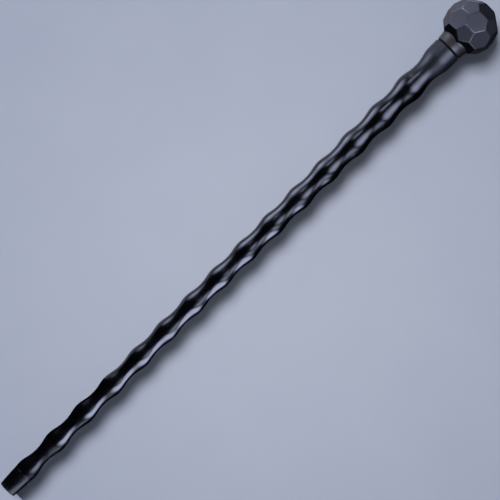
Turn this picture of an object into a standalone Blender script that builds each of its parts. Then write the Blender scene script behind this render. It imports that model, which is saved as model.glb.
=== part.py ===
"""Walking cane: a faceted ball head screwed to a rippled shaft, with a rubber foot.

The cane stands upright, +Z runs up the shaft, and the origin is the middle of the
sole. -Y is the side that shows a five-sided facet low on the head. Sizes are metres.
"""

import math

import bmesh
import bpy
from mathutils import Matrix, Vector

# Free space left between two pieces that touch
CLEARANCE = 0.0003

# Rubber foot: a cup that tapers to its sole
FOOT_HEIGHT = 0.0322
SOLE_RADIUS = 0.0125
SOLE_THICKNESS = 0.0060
SOLE_RIM_ROUNDING = 0.0012
FOOT_LIP_ROUNDING = 0.0005
TREAD_PAD_RADIUS = 0.0042
TREAD_GROOVE_WIDTH = 0.0012
TREAD_RIDGE_WIDTH = 0.0018
TREAD_GROOVE_DEPTH = 0.0010

# Steel disc between the rubber and the peg
DISC_THICKNESS = 0.0015
DISC_CHAMFER = 0.0003

# Peg that the shaft is turned down to inside the foot
PEG_RADIUS = 0.0090
PEG_CHAMFER = 0.0010

# Rippled shaft, measured from the shoulder that the foot meets to its top face
SHAFT_LENGTH = 0.8260
SHAFT_EDGE_ROUNDING = 0.0007
NECK_LENGTH = 0.0175
NECK_RADIUS = 0.0202
FIRST_CREST_RISE = 0.0065
WAVE_COUNT = 15
WAVE_SPREAD = 0.036
CREST_SHARPNESS = 1.25
CREST_RADIUS_FOOT = 0.0151
CREST_RADIUS_MIDDLE = 0.0156
TROUGH_RADIUS_FOOT = 0.0111
TROUGH_RADIUS_MIDDLE = 0.0125
TROUGH_RADIUS_NECK = 0.0162

# Washer set back in the joint between the shaft and the head
WASHER_THICKNESS = 0.0022
WASHER_SETBACK = 0.0016
WASHER_ROUNDING = 0.0004

# Faceted head: twelve five-sided and twenty six-sided facets over a flared collar
HEAD_RADIUS = 0.0390
HEAD_EDGE_BEVEL = 0.0008
HEAD_TURN = math.radians(18)
COLLAR_LENGTH = 0.0055
COLLAR_FLARE = 0.0017
COLLAR_FLARE_LENGTH = 0.0115
COLLAR_EDGE_ROUNDING = 0.0006

# Threaded steel stud, and the two brass inserts that it screws into
STUD_RADIUS = 0.0050
STUD_REACH = 0.0300
STUD_CHAMFER = 0.0009
STUD_RELIEF_DEPTH = 0.0007
STUD_RELIEF_WIDTH = 0.0014
STUD_END_SPACE = 0.0020
INSERT_RADIUS = 0.0080
INSERT_LENGTH = 0.0260
INSERT_SETBACK = 0.0003
INSERT_GROOVE_DEPTH = 0.0008
INSERT_GROOVE_WIDTH = 0.0018
INSERT_CHAMFER = 0.0005

# How finely the round forms are drawn
SHAFT_SIDES = 32
ROUND_SIDES = 40
INNER_SIDES = 24
RINGS_PER_WAVE = 8
ARC_STEPS = 2
FLARE_STEPS = 5
BEVEL_SEGMENTS = 2
SHARP_ANGLE = math.radians(35)

# A truncated icosahedron seen against the plain icosahedron it is cut from
ICOSAHEDRON_PER_HEAD_RADIUS = 1.15139
ICOSAHEDRON_EDGE_PER_RADIUS = 1.05146
CORNER_CUT_SHARE = 1 / 3
FLAT_PER_HEAD_RADIUS = 0.93923

# Heights that follow from the sizes above
SHOULDER_HEIGHT = FOOT_HEIGHT + CLEARANCE
PEG_END_HEIGHT = SOLE_THICKNESS + DISC_THICKNESS + 2 * CLEARANCE
SHAFT_TOP = SHOULDER_HEIGHT + SHAFT_LENGTH
WASHER_BASE = SHAFT_TOP + CLEARANCE
COLLAR_BASE = WASHER_BASE + WASHER_THICKNESS + CLEARANCE
HEAD_CENTRE = COLLAR_BASE + COLLAR_LENGTH + HEAD_RADIUS * FLAT_PER_HEAD_RADIUS

# Radii that one piece takes from another
SOCKET_RADIUS = PEG_RADIUS + CLEARANCE
POCKET_RADIUS = INSERT_RADIUS + CLEARANCE
STUD_BORE_RADIUS = STUD_RADIUS + CLEARANCE


def clear_scene():
    """Remove the objects that the scene starts with."""
    for old_object in list(bpy.data.objects):
        bpy.data.objects.remove(old_object, do_unlink=True)


def new_collection(name):
    """Make a collection under the scene's own."""
    collection = bpy.data.collections.new(name)
    bpy.context.scene.collection.children.link(collection)
    return collection


def new_material(name, colour, roughness, metallic=0.0):
    """Make a material from one Principled shader."""
    material = bpy.data.materials.new(name)
    material.use_nodes = True
    shader = material.node_tree.nodes["Principled BSDF"]
    shader.inputs["Base Color"].default_value = (*colour, 1.0)
    shader.inputs["Roughness"].default_value = roughness
    shader.inputs["Metallic"].default_value = metallic
    material.diffuse_color = (*colour, 1.0)
    return material


def round_corners(corners, closed=False):
    """Draw an outline of (radius, height, rounding) corners, each rounding as a short curve."""
    outline = []
    for index, (radius, height, rounding) in enumerate(corners):
        corner = Vector((radius, height))
        at_end = not closed and index in (0, len(corners) - 1)
        if rounding == 0 or at_end:
            outline.append(corner)
            continue
        before = Vector(corners[index - 1][:2]) - corner
        after = Vector(corners[(index + 1) % len(corners)][:2]) - corner
        reach = min(rounding, before.length / 2, after.length / 2)
        start = corner + before.normalized() * reach
        end = corner + after.normalized() * reach
        for step in range(ARC_STEPS + 1):
            share = step / ARC_STEPS
            outline.append(start.lerp(corner, share).lerp(corner.lerp(end, share), share))
    return outline


def turned_mesh(name, outline, sides, closed=False):
    """Turn an outline about Z with a Screw modifier and return the finished mesh.

    The outline runs down the piece's outer side. An open one starts and ends on the axis.
    """
    profile = bpy.data.meshes.new(name)
    vertices = [(point.x, 0.0, point.y) for point in outline]
    edges = [(index, index + 1) for index in range(len(vertices) - 1)]
    if closed:
        edges.append((len(vertices) - 1, 0))
    profile.from_pydata(vertices, edges, [])
    turning = bpy.data.objects.new(name, profile)
    bpy.context.scene.collection.objects.link(turning)
    screw = turning.modifiers.new("Turn", 'SCREW')
    screw.axis = 'Z'
    screw.steps = sides
    screw.render_steps = sides
    screw.use_merge_vertices = True
    screw.merge_threshold = 0.00002
    bpy.context.view_layer.update()
    depsgraph = bpy.context.evaluated_depsgraph_get()
    mesh = bpy.data.meshes.new_from_object(turning.evaluated_get(depsgraph))
    mesh.name = name
    bpy.data.objects.remove(turning, do_unlink=True)
    bpy.data.meshes.remove(profile)
    mesh.shade_smooth()
    mesh.set_sharp_from_angle(angle=SHARP_ANGLE)
    return mesh


def place(name, mesh, height, material, collection, parent):
    """Put a mesh in the scene as a named piece, at its height on the cane's axis."""
    piece = bpy.data.objects.new(name, mesh)
    piece.location = (0.0, 0.0, height)
    piece.parent = parent
    if not mesh.materials:
        mesh.materials.append(material)
    collection.objects.link(piece)
    return piece


def boolean(piece, operation, guide):
    """Join a guide shape to a piece, or cut it away."""
    modifier = piece.modifiers.new(operation.capitalize(), 'BOOLEAN')
    modifier.operation = operation
    modifier.solver = 'EXACT'
    modifier.object = guide
    guide.hide_render = True
    guide.display_type = 'WIRE'


def curve_through(foot_value, middle_value, neck_value, along):
    """Follow the smooth curve through three values; along is 0 at the foot and 1 at the neck."""
    return (foot_value * (1 - along) * (1 - 2 * along)
            + middle_value * 4 * along * (1 - along)
            + neck_value * along * (2 * along - 1))


def shaft_radius(rise):
    """Radius of the shaft at a rise above its shoulder.

    The waves lie a little further apart towards both ends, their crests are tighter
    than their troughs, and the last crest runs on as the plain neck.
    """
    neck_start = SHAFT_LENGTH - NECK_LENGTH
    if rise >= neck_start:
        return NECK_RADIUS
    along = (rise - FIRST_CREST_RISE) / (neck_start - FIRST_CREST_RISE)
    centred = 2 * along - 1
    spread = centred * (1 + WAVE_SPREAD) - WAVE_SPREAD * centred ** 3
    waves = WAVE_COUNT * (spread + 1) / 2
    crest = curve_through(CREST_RADIUS_FOOT, CREST_RADIUS_MIDDLE, NECK_RADIUS, along)
    trough = curve_through(TROUGH_RADIUS_FOOT, TROUGH_RADIUS_MIDDLE, TROUGH_RADIUS_NECK, along)
    lift = (0.5 + 0.5 * math.cos(2 * math.pi * waves)) ** CREST_SHARPNESS
    return trough + (crest - trough) * lift


def foot_mesh():
    """Tapered rubber cup, with ring treads round a flat pad on its sole."""
    lip_radius = shaft_radius(0.0)
    corners = [
        (0.0, SOLE_THICKNESS, 0.0),
        (SOCKET_RADIUS, SOLE_THICKNESS, 0.0),
        (SOCKET_RADIUS, FOOT_HEIGHT, FOOT_LIP_ROUNDING),
        (lip_radius, FOOT_HEIGHT, FOOT_LIP_ROUNDING),
        (SOLE_RADIUS, 0.0, SOLE_RIM_ROUNDING),
    ]
    groove_inner = TREAD_PAD_RADIUS
    treads = []
    while groove_inner + TREAD_GROOVE_WIDTH + TREAD_RIDGE_WIDTH < SOLE_RADIUS - SOLE_RIM_ROUNDING:
        groove_outer = groove_inner + TREAD_GROOVE_WIDTH
        treads.append((groove_inner, groove_outer))
        groove_inner = groove_outer + TREAD_RIDGE_WIDTH
    for groove_inner, groove_outer in reversed(treads):
        corners.append((groove_outer, 0.0, 0.0))
        corners.append((groove_outer, TREAD_GROOVE_DEPTH, 0.0))
        corners.append((groove_inner, TREAD_GROOVE_DEPTH, 0.0))
        corners.append((groove_inner, 0.0, 0.0))
    corners.append((0.0, 0.0, 0.0))
    return turned_mesh("foot", round_corners(corners), ROUND_SIDES)


def disc_mesh():
    """Flat steel disc with both rims broken."""
    disc_radius = SOCKET_RADIUS - CLEARANCE
    corners = [
        (0.0, DISC_THICKNESS, 0.0),
        (disc_radius - DISC_CHAMFER, DISC_THICKNESS, 0.0),
        (disc_radius, DISC_THICKNESS - DISC_CHAMFER, 0.0),
        (disc_radius, DISC_CHAMFER, 0.0),
        (disc_radius - DISC_CHAMFER, 0.0, 0.0),
        (0.0, 0.0, 0.0),
    ]
    return turned_mesh("foot_disc", round_corners(corners), INNER_SIDES)


def bore_corners(mouth_height, towards):
    """Stepped blind bore for an insert and the stud's end, from the axis to the mouth."""
    insert_floor = mouth_height + towards * (INSERT_SETBACK + INSERT_LENGTH + CLEARANCE)
    stud_floor = mouth_height + towards * (STUD_REACH + STUD_END_SPACE)
    return [
        (0.0, stud_floor, 0.0),
        (STUD_BORE_RADIUS, stud_floor, 0.0),
        (STUD_BORE_RADIUS, insert_floor, 0.0),
        (POCKET_RADIUS, insert_floor, 0.0),
        (POCKET_RADIUS, mouth_height, 0.0),
    ]


def shaft_mesh():
    """Shaft with its insert bore, plain neck, ripples, shoulder and peg, from the shoulder up."""
    outline = round_corners(bore_corners(SHAFT_LENGTH, -1))
    outline += round_corners([
        (POCKET_RADIUS, SHAFT_LENGTH, 0.0),
        (NECK_RADIUS, SHAFT_LENGTH, SHAFT_EDGE_ROUNDING),
        (NECK_RADIUS, SHAFT_LENGTH - NECK_LENGTH, 0.0),
    ])[1:]
    rippled_length = SHAFT_LENGTH - NECK_LENGTH
    rings = WAVE_COUNT * RINGS_PER_WAVE
    for ring in range(rings - 1, -1, -1):
        rise = rippled_length * ring / rings
        outline.append(Vector((shaft_radius(rise), rise)))
    peg_end = PEG_END_HEIGHT - SHOULDER_HEIGHT
    outline += round_corners([
        (shaft_radius(0.0), 0.0, 0.0),
        (PEG_RADIUS, 0.0, 0.0),
        (PEG_RADIUS, peg_end + PEG_CHAMFER, 0.0),
        (PEG_RADIUS - PEG_CHAMFER, peg_end, 0.0),
        (0.0, peg_end, 0.0),
    ])[1:]
    return turned_mesh("shaft", outline, SHAFT_SIDES)


def washer_mesh():
    """Thin ring round the stud, set back from the joint's outer face."""
    outer_radius = NECK_RADIUS - WASHER_SETBACK
    corners = [
        (outer_radius, WASHER_THICKNESS, WASHER_ROUNDING),
        (outer_radius, 0.0, WASHER_ROUNDING),
        (STUD_BORE_RADIUS, 0.0, 0.0),
        (STUD_BORE_RADIUS, WASHER_THICKNESS, 0.0),
    ]
    return turned_mesh("joint_washer", round_corners(corners, closed=True), SHAFT_SIDES, closed=True)


def insert_mesh():
    """Brass barrel with two retaining grooves and a bore for the stud."""
    band = (INSERT_LENGTH - 2 * INSERT_GROOVE_WIDTH) / 3
    groove_radius = INSERT_RADIUS - INSERT_GROOVE_DEPTH
    corners = [(INSERT_RADIUS, INSERT_LENGTH, INSERT_CHAMFER)]
    for groove_base in (2 * band + INSERT_GROOVE_WIDTH, band):
        groove_top = groove_base + INSERT_GROOVE_WIDTH
        corners.append((INSERT_RADIUS, groove_top, 0.0))
        corners.append((groove_radius, groove_top, 0.0))
        corners.append((groove_radius, groove_base, 0.0))
        corners.append((INSERT_RADIUS, groove_base, 0.0))
    corners.append((INSERT_RADIUS, 0.0, INSERT_CHAMFER))
    corners.append((STUD_BORE_RADIUS, 0.0, INSERT_CHAMFER))
    corners.append((STUD_BORE_RADIUS, INSERT_LENGTH, INSERT_CHAMFER))
    return turned_mesh("insert", round_corners(corners, closed=True), INNER_SIDES, closed=True)


def stud_mesh():
    """Steel stud, the same at both ends, with a relief where each thread stops."""
    joint_space = COLLAR_BASE - SHAFT_TOP
    length = 2 * STUD_REACH + joint_space
    relief_radius = STUD_RADIUS - STUD_RELIEF_DEPTH
    upper_thread_start = STUD_REACH + joint_space
    corners = [
        (0.0, length, 0.0),
        (STUD_RADIUS - STUD_CHAMFER, length, 0.0),
        (STUD_RADIUS, length - STUD_CHAMFER, 0.0),
    ]
    for relief_middle in (upper_thread_start, STUD_REACH):
        relief_top = relief_middle + STUD_RELIEF_WIDTH / 2
        relief_base = relief_middle - STUD_RELIEF_WIDTH / 2
        corners.append((STUD_RADIUS, relief_top, 0.0))
        corners.append((relief_radius, relief_top, 0.0))
        corners.append((relief_radius, relief_base, 0.0))
        corners.append((STUD_RADIUS, relief_base, 0.0))
    corners.append((STUD_RADIUS, STUD_CHAMFER, 0.0))
    corners.append((STUD_RADIUS - STUD_CHAMFER, 0.0, 0.0))
    corners.append((0.0, 0.0, 0.0))
    return turned_mesh("stud", round_corners(corners), INNER_SIDES)


def ball_mesh():
    """Faceted ball: an icosahedron with its corners cut off a third of the way along each edge."""
    icosahedron_radius = HEAD_RADIUS * ICOSAHEDRON_PER_HEAD_RADIUS
    corner_cut = icosahedron_radius * ICOSAHEDRON_EDGE_PER_RADIUS * CORNER_CUT_SHARE
    ball = bmesh.new()
    bmesh.ops.create_icosphere(ball, subdivisions=1, radius=icosahedron_radius)
    bmesh.ops.bevel(ball, geom=ball.verts[:], offset=corner_cut, offset_type='OFFSET',
                    segments=1, affect='VERTICES')
    bmesh.ops.remove_doubles(ball, verts=ball.verts[:], dist=0.00005)
    bmesh.ops.dissolve_limit(ball, angle_limit=math.radians(1), verts=ball.verts[:],
                             edges=ball.edges[:])
    bmesh.ops.bevel(ball, geom=ball.edges[:], offset=HEAD_EDGE_BEVEL, offset_type='OFFSET',
                    segments=BEVEL_SEGMENTS, profile=0.5, affect='EDGES')
    rise_in_head = HEAD_CENTRE - COLLAR_BASE
    turn = Matrix.Rotation(HEAD_TURN, 4, 'Z')
    bmesh.ops.transform(ball, matrix=Matrix.Translation((0, 0, rise_in_head)) @ turn,
                        verts=ball.verts[:])
    mesh = bpy.data.meshes.new("head")
    ball.to_mesh(mesh)
    ball.free()
    return mesh


def collar_mesh():
    """Collar that flares from the shaft's neck and runs up inside the ball."""
    collar_top = HEAD_CENTRE - COLLAR_BASE - HEAD_RADIUS / 2
    flare_outline = []
    for step in range(FLARE_STEPS, 0, -1):
        share = step / FLARE_STEPS
        flare_outline.append((NECK_RADIUS + COLLAR_FLARE * share ** 1.5,
                              COLLAR_FLARE_LENGTH * share, 0.0))
    corners = [
        (0.0, collar_top, 0.0),
        (NECK_RADIUS + COLLAR_FLARE, collar_top, 0.0),
        *flare_outline,
        (NECK_RADIUS, 0.0, COLLAR_EDGE_ROUNDING),
        (0.0, 0.0, 0.0),
    ]
    return turned_mesh("collar", round_corners(corners), ROUND_SIDES)


def bore_mesh():
    """Cutter for the head's stepped bore, reaching past the collar's base."""
    corners = bore_corners(0.0, 1)
    corners[-1] = (POCKET_RADIUS, -COLLAR_EDGE_ROUNDING - CLEARANCE, 0.0)
    corners.append((0.0, -COLLAR_EDGE_ROUNDING - CLEARANCE, 0.0))
    return turned_mesh("head_bore", round_corners(corners), SHAFT_SIDES)


clear_scene()
cane_collection = new_collection("walking_cane")
guide_collection = new_collection("walking_cane_guides")

head_moulding = new_material("head_moulding", (0.062, 0.066, 0.078), 0.55)
shaft_moulding = new_material("shaft_moulding", (0.010, 0.011, 0.014), 0.28)
foot_rubber = new_material("foot_rubber", (0.016, 0.017, 0.019), 0.60)
washer_rubber = new_material("washer_rubber", (0.008, 0.008, 0.009), 0.75)
stud_steel = new_material("stud_steel", (0.56, 0.57, 0.58), 0.35, 1.0)
insert_brass = new_material("insert_brass", (0.80, 0.58, 0.28), 0.35, 1.0)

cane = bpy.data.objects.new("cane_axis", None)
cane_collection.objects.link(cane)

# Rubber foot and the disc in its socket
place("foot", foot_mesh(), 0.0, foot_rubber, cane_collection, cane)
place("foot_disc", disc_mesh(), SOLE_THICKNESS + CLEARANCE, stud_steel, cane_collection, cane)

# Shaft, placed by the shoulder that meets the foot's lip
place("shaft", shaft_mesh(), SHOULDER_HEIGHT, shaft_moulding, cane_collection, cane)

# Joint: an insert each side of the washer, and the stud through all three
shared_insert = insert_mesh()
place("shaft_insert", shared_insert, SHAFT_TOP - INSERT_SETBACK - INSERT_LENGTH,
      insert_brass, cane_collection, cane)
place("head_insert", shared_insert, COLLAR_BASE + INSERT_SETBACK,
      insert_brass, cane_collection, cane)
place("joint_washer", washer_mesh(), WASHER_BASE, washer_rubber, cane_collection, cane)
place("stud", stud_mesh(), SHAFT_TOP - STUD_REACH, stud_steel, cane_collection, cane)

# Head: the ball and its collar joined into one moulding, then bored from below
head = place("head", ball_mesh(), COLLAR_BASE, head_moulding, cane_collection, cane)
collar = place("head_collar_guide", collar_mesh(), COLLAR_BASE, head_moulding,
               guide_collection, cane)
bore = place("head_bore_guide", bore_mesh(), COLLAR_BASE, head_moulding, guide_collection, cane)
boolean(head, 'UNION', collar)
boolean(head, 'DIFFERENCE', bore)
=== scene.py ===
"""Walking cane: faceted ball head, rippled shaft and rubber foot, dressed over its solids."""

import math

import bmesh
import bpy
from mathutils import Matrix, Quaternion, Vector


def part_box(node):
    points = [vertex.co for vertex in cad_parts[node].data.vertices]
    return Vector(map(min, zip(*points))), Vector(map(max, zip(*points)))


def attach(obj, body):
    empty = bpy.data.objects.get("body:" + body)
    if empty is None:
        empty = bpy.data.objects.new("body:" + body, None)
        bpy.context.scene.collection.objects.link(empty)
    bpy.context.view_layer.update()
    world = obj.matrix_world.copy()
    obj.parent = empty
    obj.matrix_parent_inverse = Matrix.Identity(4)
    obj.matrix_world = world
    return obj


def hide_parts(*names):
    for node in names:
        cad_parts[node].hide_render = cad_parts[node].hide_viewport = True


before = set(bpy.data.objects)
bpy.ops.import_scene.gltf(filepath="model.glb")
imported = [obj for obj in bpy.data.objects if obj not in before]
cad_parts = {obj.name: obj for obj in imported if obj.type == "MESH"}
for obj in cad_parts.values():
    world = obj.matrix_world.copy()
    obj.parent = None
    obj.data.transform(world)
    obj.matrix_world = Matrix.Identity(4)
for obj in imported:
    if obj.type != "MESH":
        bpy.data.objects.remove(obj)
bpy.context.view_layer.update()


# Rubber foot
# The real piece is a tapered cup moulded in one from black rubber. It is pushed over the
# peg at the shaft's end and held by its own grip, with ring treads moulded in its sole.
FOOT_HEIGHT = 0.0322
FOOT_LIP_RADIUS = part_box("foot")[1].x
FOOT_LIP_ROUNDING = 0.0005
FOOT_SIDE_SWELL = 0.0003
SOLE_RADIUS = 0.0125
SOLE_THICKNESS = 0.0060
SOLE_RIM_ROUNDING = 0.0016
SOCKET_RADIUS = 0.0093
SOCKET_FLOOR_ROUNDING = 0.0006
TREAD_PAD_RADIUS = 0.0042
TREAD_GROOVE_WIDTH = 0.0012
TREAD_RIDGE_WIDTH = 0.0018
TREAD_GROOVE_DEPTH = 0.0010
TREAD_ROUNDING = 0.0002
TREAD_COUNT = 2
FOOT_SIDES = 128
ARC_STEPS = 6
ON_AXIS = 0.000001
SMOOTH_BELOW = math.radians(30)

RUBBER_BLACK = (0.0009, 0.0010, 0.0014, 1.0)
RUBBER_SCUFFED = (0.0024, 0.0025, 0.0030, 1.0)
PAVEMENT_DUST = (0.030, 0.028, 0.026, 1.0)
RUBBER_ROUGHNESS = (0.22, 0.28)
RUBBER_SHINE = 0.72
SCUFFED_SHARE = 0.55
DUSTY_SHARE = 0.5
DUST_DULLING = 0.3
PEBBLE_SHARE = 0.6
PATCH_RANGE = (0.3, 0.7)
HAIRLINE_LEANS = (math.radians(14), math.radians(-37))
HAIRLINE_RANGE = (0.70, 0.78)
RUBBED_RANGE = (0.52, 0.72)
DUST_RANGE = (0.38, 0.66)


def add_node(tree, kind, inputs=None, **settings):
    """Add a node, give it its settings, and set each named input or link it to a socket."""
    node = tree.nodes.new(kind)
    for name, value in settings.items():
        setattr(node, name, value)
    for name, value in (inputs or {}).items():
        if isinstance(value, bpy.types.NodeSocket):
            tree.links.new(value, node.inputs[name])
        else:
            node.inputs[name].default_value = value
    return node


def reckon(tree, operation, *values):
    """Add a maths node fed by numbers or sockets, and give back its result."""
    node = add_node(tree, 'ShaderNodeMath', dict(enumerate(values)), operation=operation)
    return node.outputs[0]


def fade(tree, value, start, end):
    """Turn a value into a mask that rises smoothly from 0 at start to 1 at end."""
    node = add_node(tree, 'ShaderNodeMapRange',
                    {"Value": value, "From Min": start, "From Max": end},
                    interpolation_type='SMOOTHSTEP')
    return node.outputs["Result"]


def spread_range(tree, mask, low, high):
    """Spread a 0 to 1 mask over the range from low to high."""
    node = add_node(tree, 'ShaderNodeMapRange', {"Value": mask, "To Min": low, "To Max": high})
    return node.outputs["Result"]


def blend_colour(tree, mask, under, over):
    """Lay one colour over another where the mask is high."""
    node = add_node(tree, 'ShaderNodeMix', {"Factor": mask, "A": under, "B": over},
                    data_type='RGBA')
    return node.outputs["Result"]


def object_place(tree, shift=(0.0, 0.0, 0.0), stretch=(1.0, 1.0, 1.0)):
    """Object coordinates, shifted and stretched for one pattern."""
    place = add_node(tree, 'ShaderNodeTexCoord').outputs["Object"]
    node = add_node(tree, 'ShaderNodeMapping',
                    {"Vector": place, "Location": shift, "Scale": stretch})
    return node.outputs["Vector"]


def new_effect(name, inputs, outputs):
    """Start a shader group with named inputs and outputs; return it, its inputs and result."""
    effect = bpy.data.node_groups.new(name, 'ShaderNodeTree')
    for label, kind, value in inputs:
        socket = effect.interface.new_socket(label, in_out='INPUT', socket_type=kind)
        if value is not None:
            socket.default_value = value
    for label in outputs:
        effect.interface.new_socket(label, in_out='OUTPUT', socket_type='NodeSocketFloat')
    return (effect, add_node(effect, 'NodeGroupInput').outputs,
            add_node(effect, 'NodeGroupOutput').inputs)


def use_effect(tree, effect, place, inputs):
    """Put a shader group in a material with that material's own place and values."""
    return add_node(tree, 'ShaderNodeGroup', {"Place": place, **inputs}, node_tree=effect)


def moulded_grain_effect():
    """Fine pebbled grain of a moulded surface, over slow unevenness in its gloss."""
    effect, given, result = new_effect(
        "moulded grain",
        [("Place", 'NodeSocketVector', None), ("Grain Count", 'NodeSocketFloat', 2500.0),
         ("Patch Count", 'NodeSocketFloat', 60.0)],
        ["Relief", "Gloss Patches"])
    pebbles = add_node(effect, 'ShaderNodeTexVoronoi',
                       {"Vector": given["Place"], "Scale": given["Grain Count"]})
    grit = add_node(effect, 'ShaderNodeTexNoise',
                    {"Vector": given["Place"], "Scale": given["Grain Count"], "Detail": 1.0})
    patches = add_node(effect, 'ShaderNodeTexNoise',
                       {"Vector": given["Place"], "Scale": given["Patch Count"],
                        "Detail": 3.0, "Roughness": 0.55})
    relief = reckon(effect, 'MULTIPLY_ADD', pebbles.outputs["Distance"], PEBBLE_SHARE,
                    grit.outputs["Fac"])
    effect.links.new(relief, result["Relief"])
    effect.links.new(fade(effect, patches.outputs["Fac"], *PATCH_RANGE), result["Gloss Patches"])
    return effect


def handling_marks_effect():
    """Sparse hairline scratches in two directions, and soft rubbed patches."""
    effect, given, result = new_effect(
        "handling marks",
        [("Place", 'NodeSocketVector', None), ("Length Count", 'NodeSocketFloat', 12.0),
         ("Width Count", 'NodeSocketFloat', 900.0), ("Rub Count", 'NodeSocketFloat', 45.0)],
        ["Hairlines", "Rubbed"])
    hairlines = []
    for lean in HAIRLINE_LEANS:
        turned = add_node(effect, 'ShaderNodeVectorRotate',
                          {"Vector": given["Place"], "Angle": lean}, rotation_type='Y_AXIS')
        across = add_node(effect, 'ShaderNodeCombineXYZ',
                          {"X": given["Width Count"], "Y": given["Width Count"],
                           "Z": given["Length Count"]})
        stretched = add_node(effect, 'ShaderNodeVectorMath',
                             {0: turned.outputs["Vector"], 1: across.outputs["Vector"]},
                             operation='MULTIPLY')
        streaks = add_node(effect, 'ShaderNodeTexNoise',
                           {"Vector": stretched.outputs["Vector"], "Scale": 1.0, "Detail": 1.0})
        hairlines.append(fade(effect, streaks.outputs["Fac"], *HAIRLINE_RANGE))
    rubbing = add_node(effect, 'ShaderNodeTexNoise',
                       {"Vector": given["Place"], "Scale": given["Rub Count"],
                        "Detail": 4.0, "Roughness": 0.65})
    effect.links.new(reckon(effect, 'MAXIMUM', *hairlines), result["Hairlines"])
    effect.links.new(fade(effect, rubbing.outputs["Fac"], *RUBBED_RANGE), result["Rubbed"])
    return effect


def settled_dust_effect():
    """Dust that thins out with height and gathers in blotches."""
    effect, given, result = new_effect(
        "settled dust",
        [("Place", 'NodeSocketVector', None), ("Full Below", 'NodeSocketFloat', 0.001),
         ("Gone Above", 'NodeSocketFloat', 0.010), ("Blotch Count", 'NodeSocketFloat', 350.0)],
        ["Dust"])
    height = add_node(effect, 'ShaderNodeSeparateXYZ', {"Vector": given["Place"]})
    thinning = fade(effect, height.outputs["Z"], given["Gone Above"], given["Full Below"])
    blotches = add_node(effect, 'ShaderNodeTexNoise',
                        {"Vector": given["Place"], "Scale": given["Blotch Count"],
                         "Detail": 6.0, "Roughness": 0.7})
    gathered = fade(effect, blotches.outputs["Fac"], *DUST_RANGE)
    effect.links.new(reckon(effect, 'MULTIPLY', thinning, gathered), result["Dust"])
    return effect


def new_finish(name):
    """Start a material: return it, its node tree and its Principled shader."""
    finish = bpy.data.materials.new(name)
    finish.use_nodes = True
    return finish, finish.node_tree, finish.node_tree.nodes["Principled BSDF"]


def dress(tree, shader, colour, roughness, height, strength, depth):
    """Give a shader its colour, its roughness, and fine relief of some depth from a height."""
    tree.links.new(colour, shader.inputs["Base Color"])
    tree.links.new(roughness, shader.inputs["Roughness"])
    relief = add_node(tree, 'ShaderNodeBump',
                      {"Height": height, "Strength": strength, "Distance": depth})
    tree.links.new(relief.outputs["Normal"], shader.inputs["Normal"])


def rounded_outline(corners):
    """Outline of (radius, height, rounding) corners, each rounding drawn as a short curve."""
    outline = []
    for index, (radius, height, rounding) in enumerate(corners):
        corner = Vector((radius, height))
        if rounding == 0 or index in (0, len(corners) - 1):
            outline.append(corner)
            continue
        before = Vector(corners[index - 1][:2]) - corner
        after = Vector(corners[index + 1][:2]) - corner
        reach = min(rounding, before.length / 2, after.length / 2)
        start = corner + before.normalized() * reach
        end = corner + after.normalized() * reach
        for step in range(ARC_STEPS + 1):
            share = step / ARC_STEPS
            outline.append(start.lerp(corner, share).lerp(corner.lerp(end, share), share))
    return outline


def turned_mesh(name, outline, sides):
    """Turn an outline that starts and ends on the axis about Z into one closed mesh."""
    turned = bmesh.new()
    rings = []
    for point in outline:
        if point.x < ON_AXIS:
            rings.append([turned.verts.new((0.0, 0.0, point.y))] * sides)
            continue
        ring = []
        for side in range(sides):
            angle = 2 * math.pi * side / sides
            ring.append(turned.verts.new((point.x * math.cos(angle), point.x * math.sin(angle),
                                          point.y)))
        rings.append(ring)
    for upper, lower in zip(rings, rings[1:]):
        for side in range(sides):
            following = (side + 1) % sides
            loop = [upper[side], lower[side], lower[following], upper[following]]
            turned.faces.new(list(dict.fromkeys(loop)))
    bmesh.ops.recalc_face_normals(turned, faces=turned.faces[:])
    mesh = bpy.data.meshes.new(name)
    turned.to_mesh(mesh)
    turned.free()
    return mesh


def finished_piece(name, mesh, finish, node):
    """Put a finished mesh in the scene as the piece that stands for a CAD node."""
    piece = bpy.data.objects.new(name, mesh)
    bpy.context.scene.collection.objects.link(piece)
    mesh.materials.clear()
    mesh.materials.append(finish)
    mesh.shade_smooth()
    mesh.set_sharp_from_angle(angle=SMOOTH_BELOW)
    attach(piece, "root")
    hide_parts(node)


moulded_grain = moulded_grain_effect()
handling_marks = handling_marks_effect()
settled_dust = settled_dust_effect()

foot_corners = [
    (0.0, SOLE_THICKNESS, 0.0),
    (SOCKET_RADIUS, SOLE_THICKNESS, SOCKET_FLOOR_ROUNDING),
    (SOCKET_RADIUS, FOOT_HEIGHT, FOOT_LIP_ROUNDING),
    (FOOT_LIP_RADIUS, FOOT_HEIGHT, FOOT_LIP_ROUNDING),
    (FOOT_LIP_RADIUS / 2 + SOLE_RADIUS / 2 + FOOT_SIDE_SWELL, FOOT_HEIGHT / 2, FOOT_HEIGHT),
    (SOLE_RADIUS, 0.0, SOLE_RIM_ROUNDING),
]
for tread in reversed(range(TREAD_COUNT)):
    groove_inner = TREAD_PAD_RADIUS + tread * (TREAD_GROOVE_WIDTH + TREAD_RIDGE_WIDTH)
    groove_outer = groove_inner + TREAD_GROOVE_WIDTH
    foot_corners += [
        (groove_outer, 0.0, TREAD_ROUNDING),
        (groove_outer, TREAD_GROOVE_DEPTH, TREAD_ROUNDING),
        (groove_inner, TREAD_GROOVE_DEPTH, TREAD_ROUNDING),
        (groove_inner, 0.0, TREAD_ROUNDING),
    ]
foot_corners.append((0.0, 0.0, 0.0))

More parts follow.
